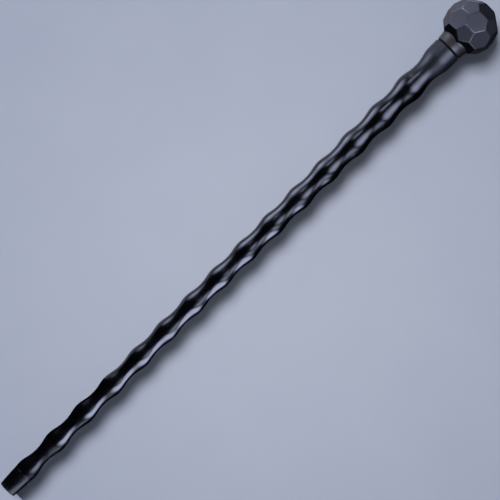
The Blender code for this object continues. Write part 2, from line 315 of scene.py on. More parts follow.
foot_rubber, tree, shader = new_finish("black foot rubber")
place = object_place(tree)
grain = use_effect(tree, moulded_grain, place, {"Grain Count": 3200.0, "Patch Count": 160.0})
marks = use_effect(tree, handling_marks, place,
                   {"Length Count": 90.0, "Width Count": 1400.0, "Rub Count": 210.0})
dust = use_effect(tree, settled_dust, place, {"Full Below": 0.0002, "Gone Above": 0.0065})
scuffed = reckon(tree, 'MULTIPLY', marks.outputs["Rubbed"], SCUFFED_SHARE)
colour = blend_colour(tree, scuffed, RUBBER_BLACK, RUBBER_SCUFFED)
dusty = reckon(tree, 'MULTIPLY', dust.outputs["Dust"], DUSTY_SHARE)
colour = blend_colour(tree, dusty, colour, PAVEMENT_DUST)
rough = spread_range(tree, grain.outputs["Gloss Patches"], *RUBBER_ROUGHNESS)
rough = reckon(tree, 'MULTIPLY_ADD', dust.outputs["Dust"], DUST_DULLING, rough)
dress(tree, shader, colour, rough, grain.outputs["Relief"], strength=0.35, depth=0.00006)
shader.inputs["Specular IOR Level"].default_value = RUBBER_SHINE

foot_mesh = turned_mesh("rubber_foot", rounded_outline(foot_corners), FOOT_SIDES)
finished_piece("rubber_foot", foot_mesh, foot_rubber, "foot")


# Steel disc
# The real piece is a stamped washer blank of zinc-plated steel, dropped into the foot's
# socket so that the peg's end doesn't cut through the sole. Its solid keeps its shape.
ZINC_BRIGHT = (0.62, 0.63, 0.65, 1.0)
ZINC_DULL = (0.36, 0.37, 0.40, 1.0)
ZINC_ROUGHNESS = (0.30, 0.48)

disc_steel, tree, shader = new_finish("zinc plated disc")
place = object_place(tree)
grain = use_effect(tree, moulded_grain, place, {"Grain Count": 900.0, "Patch Count": 500.0})
marks = use_effect(tree, handling_marks, place,
                   {"Length Count": 150.0, "Width Count": 3000.0, "Rub Count": 300.0})
colour = blend_colour(tree, grain.outputs["Gloss Patches"], ZINC_BRIGHT, ZINC_DULL)
rough = spread_range(tree, marks.outputs["Rubbed"], *ZINC_ROUGHNESS)
dress(tree, shader, colour, rough, marks.outputs["Hairlines"], strength=0.3, depth=0.00002)
shader.inputs["Metallic"].default_value = 1.0
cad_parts["foot_disc"].material_slots[0].material = disc_steel


# Rippled shaft
# The real piece is a solid stick moulded from black polymer, turned down to a peg for the
# foot and bored at its top for the brass insert. Fifteen waves run up it, closest and
# shallowest at its middle. The last crest runs on as a satin neck; the lowest wave is scuffed.
SHOULDER_HEIGHT = 0.0325
PEG_END_HEIGHT = 0.0081
PEG_RADIUS = 0.0090
PEG_CHAMFER = 0.0010
SHAFT_LENGTH = 0.8260
SHAFT_TOP = SHOULDER_HEIGHT + SHAFT_LENGTH
SHAFT_EDGE_ROUNDING = 0.0008
NECK_RADIUS = 0.0202
INSERT_POCKET_RADIUS = 0.0083
INSERT_POCKET_DEPTH = 0.0266
STUD_BORE_RADIUS = 0.0053
STUD_BORE_DEPTH = 0.0320
SHAFT_SIZES = {
    "Length": SHAFT_LENGTH,
    "Neck Length": 0.0175,
    "Neck Radius": NECK_RADIUS,
    "First Crest Rise": 0.0065,
    "Wave Count": 15.0,
    "Wave Spread": 0.036,
    "Crest Sharpness": 1.25,
    "Crest Radius Foot": 0.0151,
    "Crest Radius Middle": 0.0156,
    "Trough Radius Foot": 0.0111,
    "Trough Radius Middle": 0.0125,
    "Trough Radius Neck": 0.0162,
}
SHAFT_SIDES = 96
SHAFT_RINGS = 480

SHAFT_BLACK = (0.0006, 0.0007, 0.0011, 1.0)
SHAFT_RUBBED = (0.0022, 0.0025, 0.0036, 1.0)
WORN_SHARE = 0.5
SHAFT_ROUGHNESS = (0.175, 0.215)
RUBBED_DULLING = 0.06
HAIRLINE_DULLING = 0.10
SATIN_STARTS = 0.79
SATIN_FULL = 0.83
SATIN_DULLING = 0.20
SCUFFING_GONE = 0.098
SCUFFING_FULL = 0.084
SCUFFING_DULLING = 0.07
SCUFFED_SHINE = 0.28
FULL_SHINE = 0.5
SHINE_STEPS = 7
SHINE_RISES_FROM = 0.0730
SHINE_STEP_HEIGHT = 0.0026


def curve_through(tree, along, foot_value, middle_value, neck_value):
    """Smooth curve through three values; along is 0 at the foot and 1 at the neck."""
    left = reckon(tree, 'SUBTRACT', 1.0, along)
    doubled = reckon(tree, 'MULTIPLY', 2.0, along)
    foot_share = reckon(tree, 'MULTIPLY', left, reckon(tree, 'SUBTRACT', 1.0, doubled))
    middle_share = reckon(tree, 'MULTIPLY', reckon(tree, 'MULTIPLY', doubled, 2.0), left)
    neck_share = reckon(tree, 'MULTIPLY', along, reckon(tree, 'SUBTRACT', doubled, 1.0))
    total = reckon(tree, 'MULTIPLY', foot_value, foot_share)
    total = reckon(tree, 'MULTIPLY_ADD', middle_value, middle_share, total)
    return reckon(tree, 'MULTIPLY_ADD', neck_value, neck_share, total)


def start_growth(name, sizes):
    """Start a Geometry Nodes tree with named sizes; return it, its inputs and its result."""
    growth = bpy.data.node_groups.new(name, 'GeometryNodeTree')
    for label in sizes:
        growth.interface.new_socket(label, in_out='INPUT', socket_type='NodeSocketFloat')
    for label in ("Sides", "Rings"):
        growth.interface.new_socket(label, in_out='INPUT', socket_type='NodeSocketInt')
    growth.interface.new_socket("Finish", in_out='INPUT', socket_type='NodeSocketMaterial')
    growth.interface.new_socket("Geometry", in_out='OUTPUT', socket_type='NodeSocketGeometry')
    return (growth, add_node(growth, 'NodeGroupInput').outputs,
            add_node(growth, 'NodeGroupOutput').inputs)


def place_on_rod(growth):
    """X, Y and Z of each point, measured from the rod's middle."""
    place = add_node(growth, 'GeometryNodeInputPosition').outputs["Position"]
    return add_node(growth, 'ShaderNodeSeparateXYZ', {"Vector": place}).outputs


def rise_on_rod(growth, given):
    """Height of each point above the rod's base."""
    half = reckon(growth, 'MULTIPLY', given["Length"], 0.5)
    return reckon(growth, 'ADD', place_on_rod(growth)["Z"], half)


def end_growth(growth, given, result, radius, base_height):
    """Give an upright rod its radius at every point, stand it on its base, finish the tree."""
    rod = add_node(growth, 'GeometryNodeMeshCylinder',
                   {"Vertices": given["Sides"], "Side Segments": given["Rings"], "Radius": 1.0,
                    "Depth": given["Length"]}, fill_type='NGON')
    parts = place_on_rod(growth)
    new_place = add_node(growth, 'ShaderNodeCombineXYZ',
                         {"X": reckon(growth, 'MULTIPLY', parts["X"], radius),
                          "Y": reckon(growth, 'MULTIPLY', parts["Y"], radius),
                          "Z": reckon(growth, 'ADD', rise_on_rod(growth, given), base_height)})
    shaped = add_node(growth, 'GeometryNodeSetPosition',
                      {"Geometry": rod.outputs["Mesh"], "Position": new_place.outputs["Vector"]})
    realized = add_node(growth, 'GeometryNodeRealizeInstances',
                        {"Geometry": shaped.outputs["Geometry"]})
    coated = add_node(growth, 'GeometryNodeSetMaterial',
                      {"Geometry": realized.outputs["Geometry"], "Material": given["Finish"]})
    growth.links.new(coated.outputs["Geometry"], result["Geometry"])


def grown_mesh(name, growth, sizes, sides, rings, finish):
    """Run a Geometry Nodes tree with its inputs set, and return the result as a plain mesh."""
    carrier = bpy.data.objects.new(name, bpy.data.meshes.new(name))
    bpy.context.scene.collection.objects.link(carrier)
    modifier = carrier.modifiers.new("Growth", 'NODES')
    modifier.node_group = growth
    values = {**sizes, "Sides": sides, "Rings": rings, "Finish": finish}
    for item in growth.interface.items_tree:
        if item.item_type == 'SOCKET' and item.in_out == 'INPUT':
            modifier[item.identifier] = values[item.name]
    bpy.context.view_layer.update()
    evaluated = carrier.evaluated_get(bpy.context.evaluated_depsgraph_get())
    mesh = bpy.data.meshes.new_from_object(evaluated)
    mesh.name = name
    carrier.modifiers.remove(modifier)
    bpy.data.objects.remove(carrier, do_unlink=True)
    return mesh


def carry_on_end(shape, end_face, loops):
    """Carry an end of a rod on through rings of (radius, height), closed at the last one."""
    for radius, height in loops:
        grown = bmesh.ops.extrude_face_region(shape, geom=[end_face], use_keep_orig=False)
        new_faces = [item for item in grown["geom"] if isinstance(item, bmesh.types.BMFace)]
        if end_face.is_valid:
            bmesh.ops.delete(shape, geom=[end_face], context='FACES_ONLY')
        end_face = new_faces[0]
        for vertex in end_face.verts:
            flat = Vector((vertex.co.x, vertex.co.y)).normalized() * radius
            vertex.co = (flat.x, flat.y, height)


def quarter_round(outer_radius, end_height, rounding):
    """Rings that round an edge from a side wall up and over to a top face."""
    rings = []
    for step in range(1, ARC_STEPS + 1):
        angle = step / ARC_STEPS * math.pi / 2
        rings.append((outer_radius - rounding * (1 - math.cos(angle)),
                      end_height - rounding * (1 - math.sin(angle))))
    return rings


growth, given, result = start_growth("rippled shaft", SHAFT_SIZES)
rise = rise_on_rod(growth, given)
neck_start = reckon(growth, 'SUBTRACT', given["Length"], given["Neck Length"])
first_crest = given["First Crest Rise"]
along = reckon(growth, 'DIVIDE', reckon(growth, 'SUBTRACT', rise, first_crest),
               reckon(growth, 'SUBTRACT', neck_start, first_crest))
centred = reckon(growth, 'MULTIPLY_ADD', along, 2.0, -1.0)
cubed = reckon(growth, 'MULTIPLY', reckon(growth, 'MULTIPLY', centred, centred), centred)
crowding = reckon(growth, 'SUBTRACT', centred, cubed)
spread = reckon(growth, 'MULTIPLY_ADD', crowding, given["Wave Spread"], centred)
turns = reckon(growth, 'MULTIPLY', reckon(growth, 'ADD', spread, 1.0),
               reckon(growth, 'MULTIPLY', given["Wave Count"], math.pi))
swing = reckon(growth, 'MULTIPLY_ADD', reckon(growth, 'COSINE', turns), 0.5, 0.5)
lift = reckon(growth, 'POWER', swing, given["Crest Sharpness"])
crest = curve_through(growth, along, given["Crest Radius Foot"], given["Crest Radius Middle"],
                      given["Neck Radius"])
trough = curve_through(growth, along, given["Trough Radius Foot"], given["Trough Radius Middle"],
                       given["Trough Radius Neck"])
wave_height = reckon(growth, 'SUBTRACT', crest, trough)
wave_radius = reckon(growth, 'MULTIPLY_ADD', wave_height, lift, trough)
on_neck = reckon(growth, 'GREATER_THAN', rise, neck_start)
short_of_neck = reckon(growth, 'SUBTRACT', given["Neck Radius"], wave_radius)
radius = reckon(growth, 'MULTIPLY_ADD', short_of_neck, on_neck, wave_radius)
end_growth(growth, given, result, radius, SHOULDER_HEIGHT)

shaft_polymer, tree, shader = new_finish("black shaft polymer")
place = object_place(tree)
grain = use_effect(tree, moulded_grain, place, {"Grain Count": 1500.0, "Patch Count": 28.0})
marks = use_effect(tree, handling_marks, place,
                   {"Length Count": 14.0, "Width Count": 1100.0, "Rub Count": 55.0})
worn = reckon(tree, 'MULTIPLY', marks.outputs["Rubbed"], WORN_SHARE)
worn = reckon(tree, 'MULTIPLY_ADD', marks.outputs["Hairlines"], WORN_SHARE, worn)
colour = blend_colour(tree, worn, SHAFT_BLACK, SHAFT_RUBBED)
height = add_node(tree, 'ShaderNodeSeparateXYZ', {"Vector": place}).outputs["Z"]
rough = spread_range(tree, grain.outputs["Gloss Patches"], *SHAFT_ROUGHNESS)
for where, dulling in ((fade(tree, height, SATIN_STARTS, SATIN_FULL), SATIN_DULLING),
                       (fade(tree, height, SCUFFING_GONE, SCUFFING_FULL), SCUFFING_DULLING),
                       (marks.outputs["Rubbed"], RUBBED_DULLING),
                       (marks.outputs["Hairlines"], HAIRLINE_DULLING)):
    rough = reckon(tree, 'MULTIPLY_ADD', where, dulling, rough)
dress(tree, shader, colour, rough, grain.outputs["Relief"], strength=0.12, depth=0.00006)

shaft_mesh = grown_mesh("rippled_shaft", growth, SHAFT_SIZES, SHAFT_SIDES, SHAFT_RINGS,
                        shaft_polymer)
shape = bmesh.new()
shape.from_mesh(shaft_mesh)
shape.faces.ensure_lookup_table()
ends = sorted((face for face in shape.faces if len(face.verts) == SHAFT_SIDES),
              key=lambda face: face.calc_center_median().z)
carry_on_end(shape, ends[0], [
    (PEG_RADIUS, SHOULDER_HEIGHT),
    (PEG_RADIUS, PEG_END_HEIGHT + PEG_CHAMFER),
    (PEG_RADIUS - PEG_CHAMFER, PEG_END_HEIGHT),
])
for vertex in ends[1].verts:
    vertex.co.z = SHAFT_TOP - SHAFT_EDGE_ROUNDING
carry_on_end(shape, ends[1], [
    *quarter_round(NECK_RADIUS, SHAFT_TOP, SHAFT_EDGE_ROUNDING),
    (INSERT_POCKET_RADIUS, SHAFT_TOP),
    (INSERT_POCKET_RADIUS, SHAFT_TOP - INSERT_POCKET_DEPTH),
    (STUD_BORE_RADIUS, SHAFT_TOP - INSERT_POCKET_DEPTH),
    (STUD_BORE_RADIUS, SHAFT_TOP - STUD_BORE_DEPTH),
])
bmesh.ops.recalc_face_normals(shape, faces=shape.faces[:])
shape.to_mesh(shaft_mesh)
shape.free()
finished_piece("rippled_shaft", shaft_mesh, shaft_polymer, "shaft")

# The lowest wave loses its shine in small steps, each with a material of its own
for step in range(SHINE_STEPS):
    scuffed_polymer = shaft_polymer.copy()
    scuffed_polymer.name = f"scuffed shaft polymer {step + 1}"
    shine = SCUFFED_SHINE + (FULL_SHINE - SCUFFED_SHINE) * step / SHINE_STEPS
    shader = scuffed_polymer.node_tree.nodes["Principled BSDF"]
    shader.inputs["Specular IOR Level"].default_value = shine
    shaft_mesh.materials.append(scuffed_polymer)
for polygon in shaft_mesh.polygons:
    step = max(0, math.ceil((polygon.center.z - SHINE_RISES_FROM) / SHINE_STEP_HEIGHT))
    if step < SHINE_STEPS:
        polygon.material_index = step + 1


# Joint between shaft and head
# A steel stud screws into a brass insert on each side, through a rubber washer that is set
# back from the outside and shows as the dark line round the joint. The washer and the
# inserts keep their solids; the stud gets its thread.
STUD_REACH = 0.0300
JOINT_SPACE = 0.0028
STUD_BASE = SHAFT_TOP - STUD_REACH
THREAD_SIZES = {
    "Length": 2 * STUD_REACH + JOINT_SPACE,
    "Outer Radius": 0.0050,
    "Core Radius": 0.0043,
    "Pitch": 0.0015,
    "Crest Share": 0.06,
    "Flank Share": 0.32,
    "End Chamfer": 0.0009,
    "Relief Offset": JOINT_SPACE / 2,
    "Relief Width": 0.0014,
}
THREAD_SIDES = 32
THREAD_RINGS = 419

WASHER_BLACK = (0.0010, 0.0010, 0.0012, 1.0)
WASHER_CHALKY = (0.0040, 0.0040, 0.0045, 1.0)
STEEL_BRIGHT = (0.60, 0.61, 0.63, 1.0)
STEEL_DARK = (0.33, 0.33, 0.35, 1.0)
BRASS_BRIGHT = (0.82, 0.60, 0.29, 1.0)
BRASS_TARNISHED = (0.42, 0.27, 0.12, 1.0)
STEEL_ROUGHNESS = (0.26, 0.42)
BRASS_ROUGHNESS = (0.24, 0.45)
WASHER_ROUGHNESS = (0.70, 0.85)
WASHER_SHINE = 0.1
CHALKY_SHARE = 0.4
TURNING_STRETCH = (0.02, 0.02, 1.0)

growth, given, result = start_growth("stud thread", THREAD_SIZES)
rise = rise_on_rod(growth, given)
parts = place_on_rod(growth)
bearing = reckon(growth, 'ARCTAN2', parts["Y"], parts["X"])
winding = reckon(growth, 'DIVIDE', rise, given["Pitch"])
winding = reckon(growth, 'MULTIPLY_ADD', bearing, -1 / (2 * math.pi), winding)
saw = reckon(growth, 'PINGPONG', winding, 0.5)
flank = add_node(growth, 'ShaderNodeMapRange',
                 {"Value": saw, "From Min": given["Crest Share"],
                  "From Max": given["Flank Share"]})
middle = reckon(growth, 'MULTIPLY', given["Length"], 0.5)
from_middle = reckon(growth, 'ABSOLUTE', reckon(growth, 'SUBTRACT', rise, middle))
from_relief = reckon(growth, 'SUBTRACT', from_middle, given["Relief Offset"])
half_relief = reckon(growth, 'MULTIPLY', given["Relief Width"], 0.5)
threaded = reckon(growth, 'GREATER_THAN', reckon(growth, 'ABSOLUTE', from_relief), half_relief)
ridge = reckon(growth, 'MULTIPLY', flank.outputs["Result"], threaded)
thread_depth = reckon(growth, 'SUBTRACT', given["Outer Radius"], given["Core Radius"])
radius = reckon(growth, 'MULTIPLY_ADD', thread_depth, ridge, given["Core Radius"])
from_end = reckon(growth, 'SUBTRACT', middle, from_middle)
end_radius = reckon(growth, 'SUBTRACT', given["Outer Radius"], given["End Chamfer"])
radius = reckon(growth, 'MINIMUM', radius, reckon(growth, 'ADD', from_end, end_radius))
end_growth(growth, given, result, radius, STUD_BASE)

stud_steel, tree, shader = new_finish("stud steel")
place = object_place(tree)
marks = use_effect(tree, handling_marks, place,
                   {"Length Count": 200.0, "Width Count": 2500.0, "Rub Count": 400.0})
grain = use_effect(tree, moulded_grain, place, {"Grain Count": 4000.0, "Patch Count": 250.0})
colour = blend_colour(tree, marks.outputs["Rubbed"], STEEL_BRIGHT, STEEL_DARK)
rough = spread_range(tree, grain.outputs["Gloss Patches"], *STEEL_ROUGHNESS)
dress(tree, shader, colour, rough, grain.outputs["Relief"], strength=0.2, depth=0.00002)
shader.inputs["Metallic"].default_value = 1.0
stud_mesh = grown_mesh("threaded_stud", growth, THREAD_SIZES, THREAD_SIDES, THREAD_RINGS,
                       stud_steel)
finished_piece("threaded_stud", stud_mesh, stud_steel, "stud")

insert_brass, tree, shader = new_finish("turned brass")
place = object_place(tree)
turning = object_place(tree, stretch=TURNING_STRETCH)
rings = add_node(tree, 'ShaderNodeTexNoise', {"Vector": turning, "Scale": 4000.0, "Detail": 2.0})
grain = use_effect(tree, moulded_grain, place, {"Grain Count": 3000.0, "Patch Count": 180.0})
colour = blend_colour(tree, grain.outputs["Gloss Patches"], BRASS_BRIGHT, BRASS_TARNISHED)
rough = spread_range(tree, grain.outputs["Gloss Patches"], *BRASS_ROUGHNESS)
dress(tree, shader, colour, rough, rings.outputs["Fac"], strength=0.4, depth=0.00003)
shader.inputs["Metallic"].default_value = 1.0
for insert_name in ("shaft_insert", "head_insert"):
    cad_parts[insert_name].material_slots[0].material = insert_brass

washer_rubber, tree, shader = new_finish("black washer rubber")
place = object_place(tree)
grain = use_effect(tree, moulded_grain, place, {"Grain Count": 5000.0, "Patch Count": 220.0})
chalky = reckon(tree, 'MULTIPLY', grain.outputs["Gloss Patches"], CHALKY_SHARE)
colour = blend_colour(tree, chalky, WASHER_BLACK, WASHER_CHALKY)
rough = spread_range(tree, grain.outputs["Gloss Patches"], *WASHER_ROUGHNESS)
dress(tree, shader, colour, rough, grain.outputs["Relief"], strength=0.4, depth=0.00004)
shader.inputs["Specular IOR Level"].default_value = WASHER_SHINE
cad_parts["joint_washer"].material_slots[0].material = washer_rubber


# Faceted head
# The real piece is one matte moulding: a ball of twelve five-sided and twenty six-sided
# facets over a flared, browner collar, bored from below for its brass insert. Knocks rub its
# bevelled edges pale; at the two knocks in front the pale also stands in for the light the
# bevels catch, a painted highlight. The facets that face down to the collar are painted
# near-black with almost no gloss, a painted shade.
# HEAD_RADIUS is where the ball's corners would be if its edges were sharp
COLLAR_BASE = 0.8613
HEAD_RADIUS = 0.0390
HEAD_TURN = math.radians(18)
HEAD_EDGE_BEVEL = 0.00085
HEAD_EDGE_STEPS = 4
COLLAR_LENGTH = 0.0055
FLAT_PER_HEAD_RADIUS = 0.93923
HEAD_CENTRE = COLLAR_BASE + COLLAR_LENGTH + HEAD_RADIUS * FLAT_PER_HEAD_RADIUS
ICOSAHEDRON_PER_HEAD_RADIUS = 1.15139
ICOSAHEDRON_EDGE_PER_RADIUS = 1.05146
ICOSAHEDRON_RADIUS = HEAD_RADIUS * ICOSAHEDRON_PER_HEAD_RADIUS
CORNER_CUT = ICOSAHEDRON_RADIUS * ICOSAHEDRON_EDGE_PER_RADIUS / 3
WELD_DISTANCE = 0.00005
FLAT_WITHIN = math.radians(1)
FACET_LEAST_AREA = 0.0001
FACET_RINGS = (0.00012, 0.0007, 0.0012, 0.0020)
COLLAR_TOP = HEAD_CENTRE - HEAD_RADIUS / 2
COLLAR_FLARE = 0.0017
COLLAR_FLARE_CURVE = 1.5
COLLAR_FLARE_LENGTH = 0.0115
COLLAR_FLARE_STEPS = 18
COLLAR_EDGE_ROUNDING = 0.0007
COLLAR_SIDES = 128
BORE_OVERSHOOT = 0.0010
SHADED_UNDERSIDE_TILT = 0.66

# Knocks as (degrees round the ball, degrees up it, reach). The first two sit on the front bevels
# that catch the light, so their pale is partly a painted highlight.
KNOCK_AND_HIGHLIGHT_SPOTS = ((12, -9, 0.022), (-50, 3, 0.016), (150, -5, 0.020), (100, 20, 0.015),
               (-130, -12, 0.018))
KNOCK_LEAST = 0.20
KNOCK_STEEPNESS = 2.2
WEAR_REACH = 0.0016
WEAR_UNEVENNESS = 1.4
WEAR_RANGE = (0.35, 1.05)

HEAD_GREY = (0.0130, 0.0134, 0.0175, 1.0)
HEAD_GREY_DARK = (0.0100, 0.0104, 0.0138, 1.0)
PALE_EDGE_AND_HIGHLIGHT = (0.110, 0.112, 0.125, 1.0)
HEAD_ROUGHNESS = (0.37, 0.43)
EDGE_POLISH = -0.10
COLLAR_BROWN = (0.023, 0.0195, 0.0185, 1.0)
COLLAR_POLISH = -0.08
BROWN_STARTS = COLLAR_BASE + 0.0150
BROWN_FULL = COLLAR_BASE + 0.0110
# Painted shade colours for the ball's facets that face down to the collar
UNDERSIDE_SHADE_BLACK = (0.0004, 0.0004, 0.0006, 1.0)
UNDERSIDE_SHADE_GREY = (0.0014, 0.0014, 0.0018, 1.0)
UNDERSIDE_ROUGHNESS = (0.55, 0.70)
UNDERSIDE_SHINE = 0.02


def worn_edge_effect():
    """Pale rubbed edges, and the painted highlight that the Edge values carry: a mask that
    follows the piece's own edges, broken up by noise.
    """
    effect, given, result = new_effect(
        "worn edges",
        [("Edge", 'NodeSocketFloat', 0.0), ("Place", 'NodeSocketVector', None),
         ("Break Count", 'NodeSocketFloat', 300.0), ("Amount", 'NodeSocketFloat', 0.5)],
        ["Wear"])
    knocks = add_node(effect, 'ShaderNodeTexNoise',
                      {"Vector": given["Place"], "Scale": given["Break Count"],
                       "Detail": 5.0, "Roughness": 0.7})
    unevenness = reckon(effect, 'MULTIPLY_ADD', knocks.outputs["Fac"], WEAR_UNEVENNESS,
                        -WEAR_UNEVENNESS / 2)
    reached = reckon(effect, 'ADD', given["Edge"], unevenness)
    worn = fade(effect, reached, *WEAR_RANGE)
    effect.links.new(reckon(effect, 'MULTIPLY', worn, given["Amount"]), result["Wear"])
    return effect


def boolean_result(piece, operation, tool):
    """Join a tool shape to a piece or cut it away, and use the tool up."""
    modifier = piece.modifiers.new(operation, 'BOOLEAN')
    modifier.operation = operation
    modifier.solver = 'EXACT'
    modifier.object = tool
    bpy.context.view_layer.update()
    evaluated = piece.evaluated_get(bpy.context.evaluated_depsgraph_get())
    mesh = bpy.data.meshes.new_from_object(evaluated)
    piece.modifiers.remove(modifier)
    piece.data = mesh
    bpy.data.objects.remove(tool, do_unlink=True)


def shown_object(name, mesh):
    """Link a mesh to the scene as a plain object."""
    shown = bpy.data.objects.new(name, mesh)
    bpy.context.scene.collection.objects.link(shown)
    return shown


ball = bmesh.new()
bmesh.ops.create_icosphere(ball, subdivisions=1, radius=ICOSAHEDRON_RADIUS)
bmesh.ops.bevel(ball, geom=ball.verts[:], offset=CORNER_CUT, offset_type='OFFSET', segments=1,
                affect='VERTICES')
bmesh.ops.remove_doubles(ball, verts=ball.verts[:], dist=WELD_DISTANCE)
bmesh.ops.dissolve_limit(ball, angle_limit=FLAT_WITHIN, verts=ball.verts[:],
                         edges=ball.edges[:])
head_place = Matrix.Translation((0, 0, HEAD_CENTRE)) @ Matrix.Rotation(HEAD_TURN, 4, 'Z')
bmesh.ops.transform(ball, matrix=head_place, verts=ball.verts[:])
facet_planes = [(face.normal.copy(), face.normal.dot(face.verts[0].co)) for face in ball.faces]
bmesh.ops.bevel(ball, geom=ball.edges[:], offset=HEAD_EDGE_BEVEL, offset_type='OFFSET',
                segments=HEAD_EDGE_STEPS, profile=0.5, affect='EDGES')
for ring_width in FACET_RINGS:
    facets = [face for face in ball.faces if face.calc_area() > FACET_LEAST_AREA]
    bmesh.ops.inset_individual(ball, faces=facets, thickness=ring_width, use_even_offset=True)
ball_mesh = bpy.data.meshes.new("faceted_head")
ball.to_mesh(ball_mesh)
ball.free()

collar_corners = [(0.0, COLLAR_TOP, 0.0), (NECK_RADIUS + COLLAR_FLARE, COLLAR_TOP, 0.0)]
for step in range(COLLAR_FLARE_STEPS, 0, -1):
    share = step / COLLAR_FLARE_STEPS
    collar_corners.append((NECK_RADIUS + COLLAR_FLARE * share ** COLLAR_FLARE_CURVE,
                           COLLAR_BASE + COLLAR_FLARE_LENGTH * share, 0.0))
collar_corners += [(NECK_RADIUS, COLLAR_BASE, COLLAR_EDGE_ROUNDING), (0.0, COLLAR_BASE, 0.0)]
bore_corners = [
    (0.0, COLLAR_BASE + STUD_BORE_DEPTH, 0.0),
    (STUD_BORE_RADIUS, COLLAR_BASE + STUD_BORE_DEPTH, 0.0),
    (STUD_BORE_RADIUS, COLLAR_BASE + INSERT_POCKET_DEPTH, 0.0),
    (INSERT_POCKET_RADIUS, COLLAR_BASE + INSERT_POCKET_DEPTH, 0.0),
    (INSERT_POCKET_RADIUS, COLLAR_BASE - BORE_OVERSHOOT, 0.0),
    (0.0, COLLAR_BASE - BORE_OVERSHOOT, 0.0),
]
moulding = shown_object("head_moulding", ball_mesh)
for name, corners, operation in (("collar", collar_corners, 'UNION'),
                                 ("bore", bore_corners, 'DIFFERENCE')):
    tool_mesh = turned_mesh(name, rounded_outline(corners), COLLAR_SIDES)
    boolean_result(moulding, operation, shown_object(name, tool_mesh))
head_mesh = moulding.data
bpy.data.objects.remove(moulding, do_unlink=True)

# Knock spots as points on the ball; the front ones mark where the bevels catch the light, a
# painted highlight
knocks = []
for azimuth, lift, reach in KNOCK_AND_HIGHLIGHT_SPOTS:
    level = HEAD_RADIUS * math.cos(math.radians(lift))
    knocks.append((Vector((level * math.sin(math.radians(azimuth)),
                           -level * math.cos(math.radians(azimuth)),
                           HEAD_CENTRE + HEAD_RADIUS * math.sin(math.radians(lift)))), reach))
edge_values = [0.0] * len(head_mesh.loops)
for polygon in head_mesh.polygons:
    middle = Vector(polygon.center)
    if max(normal.dot(middle) - distance for normal, distance in facet_planes) < -HEAD_EDGE_BEVEL:
        continue
    for corner in polygon.loop_indices:
        place = head_mesh.vertices[head_mesh.loops[corner].vertex_index].co
        nearness = sorted(normal.dot(place) - distance for normal, distance in facet_planes)
        on_edge = max(0.0, 1.0 - (nearness[-1] - nearness[-2]) / WEAR_REACH)
        knock_and_highlight_share = max(1.0 - (place - knock).length / reach for knock, reach in knocks)
        knock_and_highlight_share = min(1.0, max(0.0, knock_and_highlight_share * KNOCK_STEEPNESS))
        edge_values[corner] = on_edge * (KNOCK_LEAST + (1.0 - KNOCK_LEAST) * knock_and_highlight_share)
edge_attribute = head_mesh.attributes.new("rubbed_and_highlit_edge", 'FLOAT', 'CORNER')
edge_attribute.data.foreach_set("value", edge_values)

worn_edges = worn_edge_effect()

head_polymer, tree, shader = new_finish("matte head polymer")
place = object_place(tree, shift=(0.0, 0.0, -HEAD_CENTRE))
edge = add_node(tree, 'ShaderNodeAttribute', attribute_name="rubbed_and_highlit_edge")
grain = use_effect(tree, moulded_grain, place, {"Grain Count": 1800.0, "Patch Count": 90.0})
wear_and_highlight = use_effect(tree, worn_edges, place,
                  {"Edge": edge.outputs["Fac"], "Break Count": 260.0, "Amount": 0.95})
colour = blend_colour(tree, grain.outputs["Gloss Patches"], HEAD_GREY, HEAD_GREY_DARK)
height = add_node(tree, 'ShaderNodeSeparateXYZ', {"Vector": place}).outputs["Z"]
on_collar = fade(tree, height, BROWN_STARTS - HEAD_CENTRE, BROWN_FULL - HEAD_CENTRE)
colour = blend_colour(tree, on_collar, colour, COLLAR_BROWN)
# Pale rubbed edges; at the front knock spots this pale is also a painted highlight
colour = blend_colour(tree, wear_and_highlight.outputs["Wear"], colour, PALE_EDGE_AND_HIGHLIGHT)
rough = spread_range(tree, grain.outputs["Gloss Patches"], *HEAD_ROUGHNESS)
rough = reckon(tree, 'MULTIPLY_ADD', wear_and_highlight.outputs["Wear"], EDGE_POLISH, rough)
rough = reckon(tree, 'MULTIPLY_ADD', on_collar, COLLAR_POLISH, rough)
dress(tree, shader, colour, rough, grain.outputs["Relief"], strength=0.3, depth=0.00008)
finished_piece("faceted_head", head_mesh, head_polymer, "head")

# Painted shade: facets below the ball's middle that tilt down towards the collar get this
# near-black, almost glossless finish
underside_shade_polymer, tree, shader = new_finish("painted shade underside polymer")
place = object_place(tree)
grain = use_effect(tree, moulded_grain, place, {"Grain Count": 1800.0, "Patch Count": 90.0})
colour = blend_colour(tree, grain.outputs["Gloss Patches"], UNDERSIDE_SHADE_BLACK, UNDERSIDE_SHADE_GREY)
rough = spread_range(tree, grain.outputs["Gloss Patches"], *UNDERSIDE_ROUGHNESS)
dress(tree, shader, colour, rough, grain.outputs["Relief"], strength=0.3, depth=0.00008)
shader.inputs["Specular IOR Level"].default_value = UNDERSIDE_SHINE
head_mesh.materials.append(underside_shade_polymer)
for polygon in head_mesh.polygons:
    outside = Vector(polygon.center).xy.length > NECK_RADIUS
    on_ball = outside and polygon.center.z < HEAD_CENTRE
    if on_ball and -polygon.normal.z > SHADED_UNDERSIDE_TILT:
        polygon.material_index = 1


# Floor and backdrop
# A pale floor carries the cane, and a board of the same colour stands close behind it and
# takes its shadow. Both are painted a little paler round a spot behind the cane, a painted
# pool of light. From behind, the board lets the camera and light through. A second board
# stands in for its left part in the gloss, the only part that shows there.
STAGE_LIT_POOL_PALE = (0.431, 0.467, 0.574, 1.0)
STAGE_DEEPER = (0.344, 0.380, 0.489, 1.0)
REFLECTED_PAPER = (0.48, 0.52, 0.66, 1.0)
FLOOR_LIFT = (0.225, 0.242, 0.305, 1.0)
